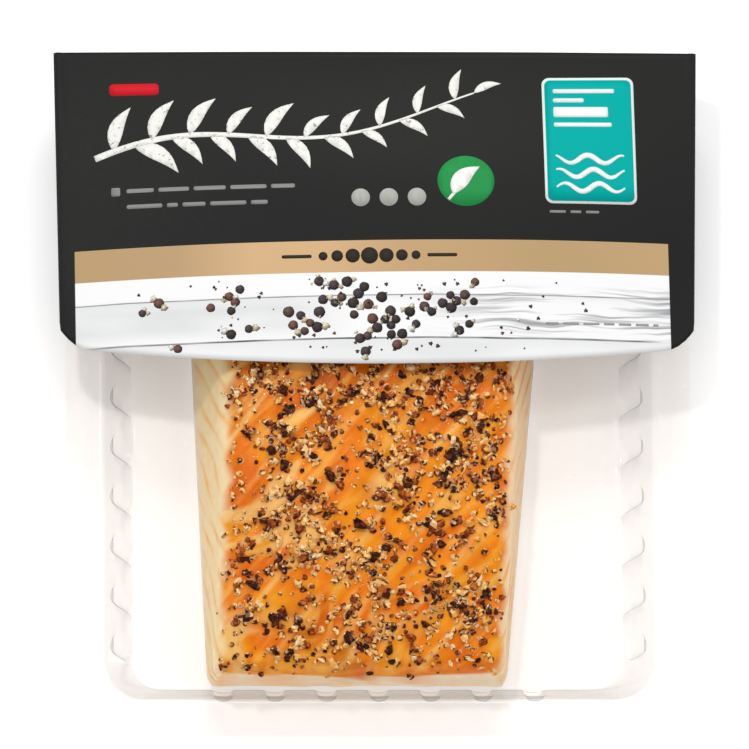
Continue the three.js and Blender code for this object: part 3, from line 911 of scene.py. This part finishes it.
def salmon_tone(x, y, up, keep):
    """The colour at one place, and how much of it is glaze; `up` is its place on the flank, `keep` its ring's."""
    blot = patchy(x, y, 11, 11, 1.3)
    patch = patchy(x, y, 24, 19, 5.2)

    # The glaze ends at a wavering edge near the top of the flank
    edge = 0.93 + 0.1 * patchy(x, y, 9, 7, 2.2) + 0.05 * patchy(x, y, 4, 4, 9.4)
    glaze = smooth(up, edge - 0.05, edge + 0.14)

    # Amber with deep and bright blots, browned toward the upper end, where the darker tone is also painted shadow of
    # the sleeve, and lines of fat between flakes
    line = abs((flake_phase(x, y) % 1.0) - 0.5) * 2
    fat = smooth(line, 0.8, 0.98) * clamp(0.6 + 1.3 * patchy(x, y, 16, 16, 4.4))
    # Painted shadow: the brown tone grows toward the sleeve's edge, over real browning in patches
    browned_and_shaded = smooth(y, -22, 6) * 0.5 + 0.45 * smooth(patch, 0.05, 0.45)
    top = AMBER.lerp(BRIGHT, clamp(0.5 + 1.2 * blot))
    top = top.lerp(DEEP, clamp(-1.5 * blot - 0.1 + 0.5 * smooth(y, -45, -78)))
    top = top.lerp(BROWNED_AND_SHADED, clamp(browned_and_shaded)).lerp(PALE, 0.75 * fat)

    # Gold and deep flecks and a milky veil run along the slanting fibres
    turn = 0.8 + 0.25 * patch
    lean = (x * math.cos(turn) + y * math.sin(turn), y * math.cos(turn) - x * math.sin(turn))
    fleck = patchy(*lean, 15, 2.8, 14.2)
    top = top.lerp(GOLD, 0.6 * smooth(fleck, 0.12, 0.42)).lerp(DEEP, 0.7 * smooth(-fleck, 0.12, 0.42))
    milky = patchy(*lean, 18, 7, 33.0) - 0.008 * x + 0.2 * smooth(abs(y + 38), 30, 6)
    top = top.lerp(PALE, 0.75 * smooth(milky + 0.35 * fleck, 0.34, 0.7))

    # The flanks are cream with amber lines and paler at the foot; the cut ends are cream and blotched
    cream, streaked, blush = LEFT_FLANK if x < 0 else RIGHT_FLANK
    side = cream.lerp(streaked, 0.95 * smooth(flank_line(x, y, up, 0.5 * patch), 0.66, 0.95) * clamp(0.55 + blot))
    side = side.lerp(blush, smooth(up, 0.3, 0.0))
    if keep < 0.98:
        side = END_FACE.lerp(streaked, 0.6 * clamp(0.2 + 1.5 * noise.noise(Vector((x / 6, keep * 3, 8.8)))))
    return side.lerp(top, glaze), glaze


def make_salmon(crumbs):
    """The flesh, drawn out ring by ring; crumbs are (x, y, radius), and the glaze is darker where they crowd, as oil
    stain and as painted shade between them.
    """
    near_crumbs = KDTree(len(crumbs))
    for i, (x, y, _) in enumerate(crumbs):
        near_crumbs.insert(Vector((x, y, 0)), i)
    near_crumbs.balance()
    bm = bmesh.new()
    count = len(fish_section(0.0))
    number = bm.verts.layers.int.new("place")
    climb = bm.verts.layers.float.new("climb")
    face_share = bm.verts.layers.float.new("end")
    stain_and_shade_reach, rounding, groove_depth, roughness = 2.6, 4.0, 0.28, 0.12
    rings = fish_rings()
    sections = {}

    def placed(vert, ring):
        along, keep = rings[ring]
        y = FISH_END_Y + along
        if y not in sections:
            sections[y] = fish_section(y)
        point, up = sections[y][vert[number]]
        vert[climb] = up
        vert[face_share] = keep

        # The edges of both ends are rounded over
        near = min(along, FISH_LENGTH - along)
        inward = 1 if along < FISH_LENGTH / 2 else -1
        fade = max(0.0, 1 - near / rounding) ** 2
        high = (point.y - FISH_BASE_Z) / thickness(y)
        middle = Vector((-4.0, FISH_BASE_Z + 0.5 * thickness(y)))
        x = point.x * (1 - 0.03 * fade)
        z = FISH_BASE_Z + (point.y - FISH_BASE_Z) * (1 - 0.14 * fade * high)
        x, z = mix(middle.x, x, keep), mix(middle.y, z, keep)

        # Grooves between flakes on the flanks, a fine roughness all over, and cut ends that bulge unevenly
        groove = 0.0
        if 0.1 < up < 1.0:
            groove = groove_depth * smooth(flank_line(x, y, up), 0.75, 1.0)
        rough = roughness * noise.noise(Vector((x / 2.2, y / 2.2, z / 2.2)))
        x -= math.copysign(groove - rough, x) if up < 1.0 else 0.0
        z += rough if up >= 1.0 else 0.0
        bulge = 0.5 * (1 - keep ** 2)
        if near < 0.3:
            bulge += 0.5 * patchy(x, z, 5.5, 9, 6.6)
        return (x, y + inward * (1.4 * high * fade - bulge), z)

    first = bmesh.ops.create_circle(bm, cap_ends=True, segments=count, radius=1.0)["verts"]
    for i, vert in enumerate(first):
        vert[number] = i
        vert.co = placed(vert, 0)
    loop = drawn_out(bm, bm.edges, len(rings) - 1, placed)
    bmesh.ops.contextual_create(bm, geom=loop)
    bmesh.ops.recalc_face_normals(bm, faces=bm.faces)
    tone = bm.verts.layers.float_color.new("tone")
    glaze = bm.verts.layers.float.new("glaze")
    for vert in bm.verts:
        colour, share = salmon_tone(vert.co.x, vert.co.y, vert[climb], vert[face_share])
        # Painted shade and oil stain: the glaze darkens round crowded crumbs
        crowd = 0.0
        for _, i, away in near_crumbs.find_range(Vector((vert.co.x, vert.co.y, 0)), stain_and_shade_reach):
            crowd += crumbs[i][2] * (1 - away / stain_and_shade_reach) ** 2
        vert[tone] = (*colour.lerp(OIL_STAIN_AND_SHADE, share * clamp(0.2 * crowd, 0.0, 0.5)), 1.0)
        vert[glaze] = share
    scale_to_metres(bm)
    tree = BVHTree.FromBMesh(bm)
    return piece("salmon_flesh", bm, [salmon()], "salmon_fillet"), tree


# Cracked pepper

def seeded(seed):
    """The rule that spreads the grains of the solid, number for number."""
    state = [seed]

    def draw():
        state[0] = (state[0] + 0x6D2B79F5) & 0xFFFFFFFF
        mixed = ((state[0] ^ (state[0] >> 15)) * (1 | state[0])) & 0xFFFFFFFF
        mixed = (((mixed + (mixed ^ (mixed >> 7)) * (61 | mixed)) & 0xFFFFFFFF) ^ mixed) & 0xFFFFFFFF
        return (mixed ^ (mixed >> 14)) / 4294967296

    return draw


def large_grains():
    """The grains that the solid has, as (x, y, radius), the largest first."""
    draw = seeded(20417)
    grains = []
    count, spacing, draws_of_form = 118, 5.6, 14
    while len(grains) < count:
        y = FISH_END_Y + mix(6.0, FISH_LENGTH - 6.0, draw())
        x = mix(3.0 - top_left(y), top_right(y) - 3.0, draw())
        if any(math.hypot(x - a, y - b) < spacing for a, b, _ in grains):
            continue
        grains.append((x, y, mix(1.9, 1.05, len(grains) / (count - 1))))
        for _ in range(draws_of_form):
            draw()
    return grains


def crumb_places(draw):
    """Pepper as it is thrown on: broken corns with their own litter of bits, and strays between them."""
    kinds = {"black": [], "brown": [], "cream": []}
    taken = []
    crowding = 0.62

    def pick(*weights):
        return draw.choices(tuple(kinds), weights)[0]

    def lay(x, y, radius, kind):
        if y < FISH_END_Y + 0.5 or y > FISH_FAR_Y - 1.2:
            return
        if any((x - a) ** 2 + (y - b) ** 2 < (crowding * (radius + r)) ** 2 for a, b, r in taken):
            return
        taken.append((x, y, radius))
        kinds[kind].append((x, y, radius))

    satellites, edge_crumbs, strays = 35, 70, 1250
    for x, y, radius in large_grains():
        lay(x, y, 0.86 * radius, pick(5, 4, 1))
        drift = 0.5 + 1.1 * patchy(x, y, 15, 15, 21.0)
        for _ in range(int(satellites * clamp(drift, 0.15, 1.0))):
            angle, away = draw.uniform(0, math.tau), radius + abs(draw.gauss(0, 2.3))
            kind = pick(3, 4, 7)
            size = draw.uniform(0.5, 1.4 if kind == "cream" else 1.3)
            lay(x + away * math.cos(angle), y + 0.85 * away * math.sin(angle), size, kind)
    for _ in range(edge_crumbs):
        y = FISH_END_Y + draw.uniform(0.6, 6.0)
        x = draw.uniform(1.0 - top_left(y), top_right(y) - 1.0)
        lay(x, y, draw.uniform(0.5, 1.2), pick(3, 3, 5))
    for _ in range(strays):
        y = draw.uniform(FISH_END_Y, FISH_FAR_Y)
        over = 5.0 if draw.random() < 0.05 else 0.0
        x = draw.uniform(0.6 - top_left(y) - over, top_right(y) - 0.6 + over)
        lay(x, y, draw.uniform(0.35, 1.0), pick(1, 2, 7))
    return kinds


def pepper_piece(name, spots, ground, material, draw, flat, jag):
    """All crumbs of one kind, made in small batches and then joined."""
    joined = bmesh.new()
    joined.faces.layers.float.new("crumb")
    batch, batch_size = bpy.data.meshes.new("pepper_batch"), 40
    for start in range(0, len(spots), batch_size):
        bm = bmesh.new()
        crumb = bm.faces.layers.float.new("crumb")
        for x, y, radius in spots[start:start + batch_size]:
            break_crumb(bm, crumb, x, y, radius, ground, draw, flat, jag)
        bm.to_mesh(batch)
        bm.free()
        joined.from_mesh(batch)
    bpy.data.meshes.remove(batch)
    scale_to_metres(joined)
    return piece(name, joined, [material], smooth_faces=False)


def break_crumb(bm, crumb, x, y, radius, ground, draw, flat, jag):
    """A small ball, broken out of round: dark with husk on one side, its other faces each in their own tone, which
    also paints facet light and, at its top, a glint.
    """
    place, normal = drop(ground, x, y)
    if place is None:
        return
    count = len(bm.faces)
    large = radius > LARGE_CRUMB
    if large:
        on_side = Matrix.Rotation(math.pi / 2, 4, "X")
        made = bmesh.ops.create_uvsphere(bm, u_segments=8, v_segments=6, radius=radius, matrix=on_side)["verts"]
    else:
        made = bmesh.ops.create_icosphere(bm, subdivisions=1, radius=radius)["verts"]
    stretch = Vector((draw.uniform(0.6, 1.15), draw.uniform(0.85, 1.45), flat * draw.uniform(0.75, 1.2)))
    seed = Vector((draw.uniform(0, 50), draw.uniform(0, 50), draw.uniform(0, 50)))
    for vert in made:
        push = 1 + jag * noise.noise(vert.co / radius * 1.3 + seed)
        if large:
            push += 0.5 * jag * noise.noise(vert.co / radius * 2.9 + seed)
        vert.co = vert.co * stretch * push
    spin = Matrix.Rotation(draw.uniform(0, math.tau), 4, "Z")
    tilt = Matrix.Rotation(draw.uniform(-0.6, 0.6), 4, "X")
    lay = normal.to_track_quat("Z", "Y").to_matrix().to_4x4()
    lift = place / MM + normal * radius * flat * 0.3
    bmesh.ops.transform(bm, matrix=Matrix.Translation(lift) @ lay @ tilt @ spin, verts=made)
    value, turn = draw.uniform(0.35, 0.75), draw.uniform(0, math.tau)
    husk = Vector((math.cos(turn), math.sin(turn), -0.3))
    bm.faces.ensure_lookup_table()
    # Painted facet light: random face tones, lighter and darker as lit facets would be, the top tone a painted glint
    # taken by place, since a new ball may list its faces in another order at each run
    for face in sorted(bm.faces[count:], key=lambda entry: tuple(entry.calc_center_median())):
        away = (face.calc_center_median() - lift).normalized().dot(husk)
        face[crumb] = draw.uniform(0, 0.08) if away > 0.5 else clamp(value + draw.uniform(-0.3, 0.35), 0.2)


def make_pepper(kinds, ground, draw):
    """The three kinds of pepper, each with its tones from husk to inside, the last of them on the dark kinds a
    painted glint, how flat it is and how jagged.
    """
    looks = {
        "black": (("160502", "2a0a05", "441508", "6e2c12", "f6cc98"), 0.78, 0.85),
        "brown": (("3c1005", "742a0b", "9e4a18", "c46c28", "fabc74"), 0.62, 0.95),
        "cream": (("4a1805", "e8963c", "fcc268", "fed890", "fff0cc"), 0.6, 0.95),
    }
    return [pepper_piece("pepper_" + kind, kinds[kind], ground, cracked_pepper(kind + "_pepper_crumb", codes),
                         draw, flat, jag) for kind, (codes, flat, jag) in looks.items()]


def crumb_rims(name, material, spots, ground, draw, skipped, near, far, thin, swell):
    """Thin arcs that hug the larger crumbs, wider in their middle than at their ends."""
    bm = bmesh.new()
    for x, y, radius in spots:
        normal = drop(ground, x, y)[1]
        if draw.random() < skipped or normal is None or normal.z < 0.9:
            continue
        reach = radius * draw.uniform(near, far)
        start, sweep = draw.uniform(0, math.tau), draw.uniform(1.2, 4.2)
        steps = max(4, int(sweep * 2.6))
        inner, outer = [], []
        for share in shares(steps):
            angle = start + sweep * share
            wide = thin + swell * math.sin(math.pi * share) * draw.uniform(0.6, 1.3)
            for ring, away in ((inner, reach - wide), (outer, reach + wide)):
                px, py = x + away * math.cos(angle), y + away * math.sin(angle) * 0.92
                place = drop(ground, px, py)[0]
                lift = 0.34 * radius if ring is inner else 0.12 * radius
                ring.append(place and bm.verts.new((px, py, place.z / MM + lift)))
        for i in range(steps):
            if None not in (inner[i], inner[i + 1], outer[i], outer[i + 1]):
                bm.faces.new((inner[i], outer[i], outer[i + 1], inner[i + 1]))
    bmesh.ops.delete(bm, geom=[vert for vert in bm.verts if not vert.link_faces], context="VERTS")
    scale_to_metres(bm)
    made = piece(name, bm, [material])
    solidify(made, RIM_WALL)


# Skin film

def film_lines(low, high, dense_low, dense_high, fine, coarse):
    """Places of the film's grid lines: close together over the fillet, wide apart in the tray."""
    lines = [low]
    while lines[-1] < high:
        step = fine if dense_low - coarse < lines[-1] < dense_high else coarse
        lines.append(lines[-1] + step)
    lines[-1] = high
    return lines


def make_film(solids):
    """A thin film sucked down over the fillet and into the tray: it tents from crumb to crumb like a taut skin."""
    grounds = []
    for solid in solids:
        bm = bmesh.new()
        bm.from_mesh(solid.data)
        grounds.append(BVHTree.FromBMesh(bm))
        bm.free()
    margin, stand_off, fine, coarse = 0.3, 0.1, 0.52, 1.9
    half_x, half_y = TRAY_HALF_X - margin, TRAY_HALF_Y - margin
    xs = film_lines(-half_x, half_x, -54.5, 47.0, fine, coarse)
    ys = film_lines(TRAY_Y - half_y, TRAY_Y + half_y, -83.5, 58.0, fine, coarse)
    ground = []
    for y in ys:
        row = []
        for x in xs:
            hits = [drop(tree, x, y)[0] for tree in grounds]
            heights = [hit.z / MM for hit in hits if hit]
            row.append(max(heights) + stand_off if heights else None)
        ground.append(row)

    # Each easing lifts the film toward the middle of its neighbours, and never below what it covers
    film, easings = ground, 7
    for _ in range(easings):
        eased = [row[:] for row in film]
        for j in range(1, len(ys) - 1):
            for i in range(1, len(xs) - 1):
                around = (film[j][i - 1], film[j][i + 1], film[j - 1][i], film[j + 1][i])
                if film[j][i] is not None and None not in around:
                    eased[j][i] = max(ground[j][i], sum(around) / 4)
        film = eased

    bm = bmesh.new()
    nx, ny = len(xs) - 1, len(ys) - 1
    bmesh.ops.create_grid(bm, x_segments=nx, y_segments=ny, size=0.5)
    bare = []
    for vert in bm.verts:
        i, j = round((vert.co.x + 0.5) * nx), round((vert.co.y + 0.5) * ny)
        if film[j][i] is None:
            bare.append(vert)
        else:
            vert.co = (xs[i], ys[j], film[j][i])
    bmesh.ops.delete(bm, geom=bare, context="VERTS")
    scale_to_metres(bm)
    return piece("skin_film", bm, [FILM])


# ---------------------------------------------------------------- studio

def make_floor():
    """A wide pale floor under the pack."""
    bm = bmesh.new()
    bmesh.ops.create_grid(bm, x_segments=2, y_segments=2, size=3.0)
    bmesh.ops.translate(bm, vec=(0, 0, -0.0001), verts=bm.verts)
    mesh = bpy.data.meshes.new("studio_floor")
    bm.to_mesh(mesh)
    bm.free()
    mesh.materials.append(studio_floor())
    in_scene("studio_floor", mesh)


def make_light(name, place, size, power):
    """A white softbox that is turned to the pack."""
    data = bpy.data.lights.new(name, "AREA")
    data.shape = "RECTANGLE"
    data.size, data.size_y = size
    data.energy = power
    made = in_scene(name, data)
    made.location = place
    made.rotation_euler = (-Vector(place)).to_track_quat("-Z", "Y").to_euler()


def make_studio():
    """Even white light from all round, a small softbox for the glints, a tall one on the right, a wide one behind."""
    world = bpy.data.worlds.new("studio_world")
    world.use_nodes = True
    connect(world.node_tree, world.node_tree.nodes["Background"], {"Color": linear("ffffff"), "Strength": 0.6})
    bpy.context.scene.world = world
    make_light("softbox_left", (-0.38, 0.5, 1.32), (0.11, 0.11), 4.3)
    make_light("softbox_right", (0.7, 0.3, 1.2), (0.18, 0.5), 1.7)
    make_light("softbox_back", (0.05, 1.0, 0.9), (0.5, 0.3), 4.2)
    view = bpy.context.scene.view_settings
    view.view_transform = "Standard"
    view.look = "None"
    view.exposure = 0.0


def make_camera():
    """Almost straight down on the shown side, from the pack's lower end, through a long lens."""
    side, tilt, roll = math.radians(2.0), math.radians(15.5), math.radians(0.5)
    target = Vector((-1.05, 4.97, 28)) * MM
    distance, frame_width, sensor = 3.0, 0.2172, 36.0
    back = Vector((-math.tan(side), -math.tan(tilt), 1)).normalized()
    right = (-back).cross(Vector((0, 1, 0))).normalized()
    up = right.cross(-back)
    turned_right = right * math.cos(roll) - up * math.sin(roll)
    turned_up = right * math.sin(roll) + up * math.cos(roll)
    data = bpy.data.cameras.new("camera")
    data.sensor_width = sensor
    data.lens = sensor * distance / frame_width
    data.clip_end = 50.0
    made = in_scene("camera", data)
    axes = Matrix((turned_right, turned_up, back)).transposed().to_4x4()
    made.matrix_world = Matrix.Translation(target + back * distance) @ axes
    bpy.context.scene.camera = made


PRINTED = printed_board()
RAW_INSIDE = raw_board("uncoated_board_inside", "c9c2b4", "dcd6ca")
RAW_EDGE = raw_board("cut_board_edge", "dedbd2", "f2f0ea")
CLEAR = clear_sheet("clear_thermoformed_pet", roughness=0.06, tint="fdfefe", slant="b4bdc1", shine="ffffff",
                    base=0.028, edge=0.4)
# The skin film's faint pink tint paints warm light bounced off the fish onto what is seen through it
FILM = clear_sheet("clear_skin_film", roughness=0.05, tint="fffbf9", slant="f2e8e2", shine="fff4e6",
                   base=0.011, edge=0.06, ripple=0.8)

make_camera()
make_studio()
make_floor()
make_sleeve()
print_sprig()
print_bars()
print_oval()
print_panel()
print_band_marks()
print_peppercorns()
tray = make_tray()
pepper_draw = random.Random(77)
kinds = crumb_places(pepper_draw)
all_crumbs = [spot for spots in kinds.values() for spot in spots]
large_crumbs = [spot for spot in all_crumbs if spot[2] > 0.5]
fish, fish_tree = make_salmon(all_crumbs)
crumbs = make_pepper(kinds, fish_tree, pepper_draw)
# Painted highlights: pale peach arcs with a wet shine where the film leaves a crumb
PAINTED_FILM_HIGHLIGHT = painted_crumb_line("painted_film_highlight", 0.15, 0.85, (0.3, "ffa64e"), (0.5, "ffcc88"), (0.7, "fff0d2"))
# Painted shadow: dark brown arcs at the foot of a crumb, where its contact shade falls
PAINTED_CRUMB_SHADOW = painted_crumb_line("painted_crumb_contact_shadow", 0.2, 0.75, (0.35, "4e1c08"), (0.65, "8e4412"))
crumb_rims("painted_highlight_creases", PAINTED_FILM_HIGHLIGHT, large_crumbs, fish_tree, random.Random(9),
           skipped=0.5, near=0.95, far=1.3, thin=0.05, swell=0.2)
crumb_rims("painted_shadow_rims", PAINTED_CRUMB_SHADOW, large_crumbs, fish_tree, random.Random(31),
           skipped=0.2, near=0.9, far=1.1, thin=0.04, swell=0.15)
make_film([tray, fish] + crumbs)
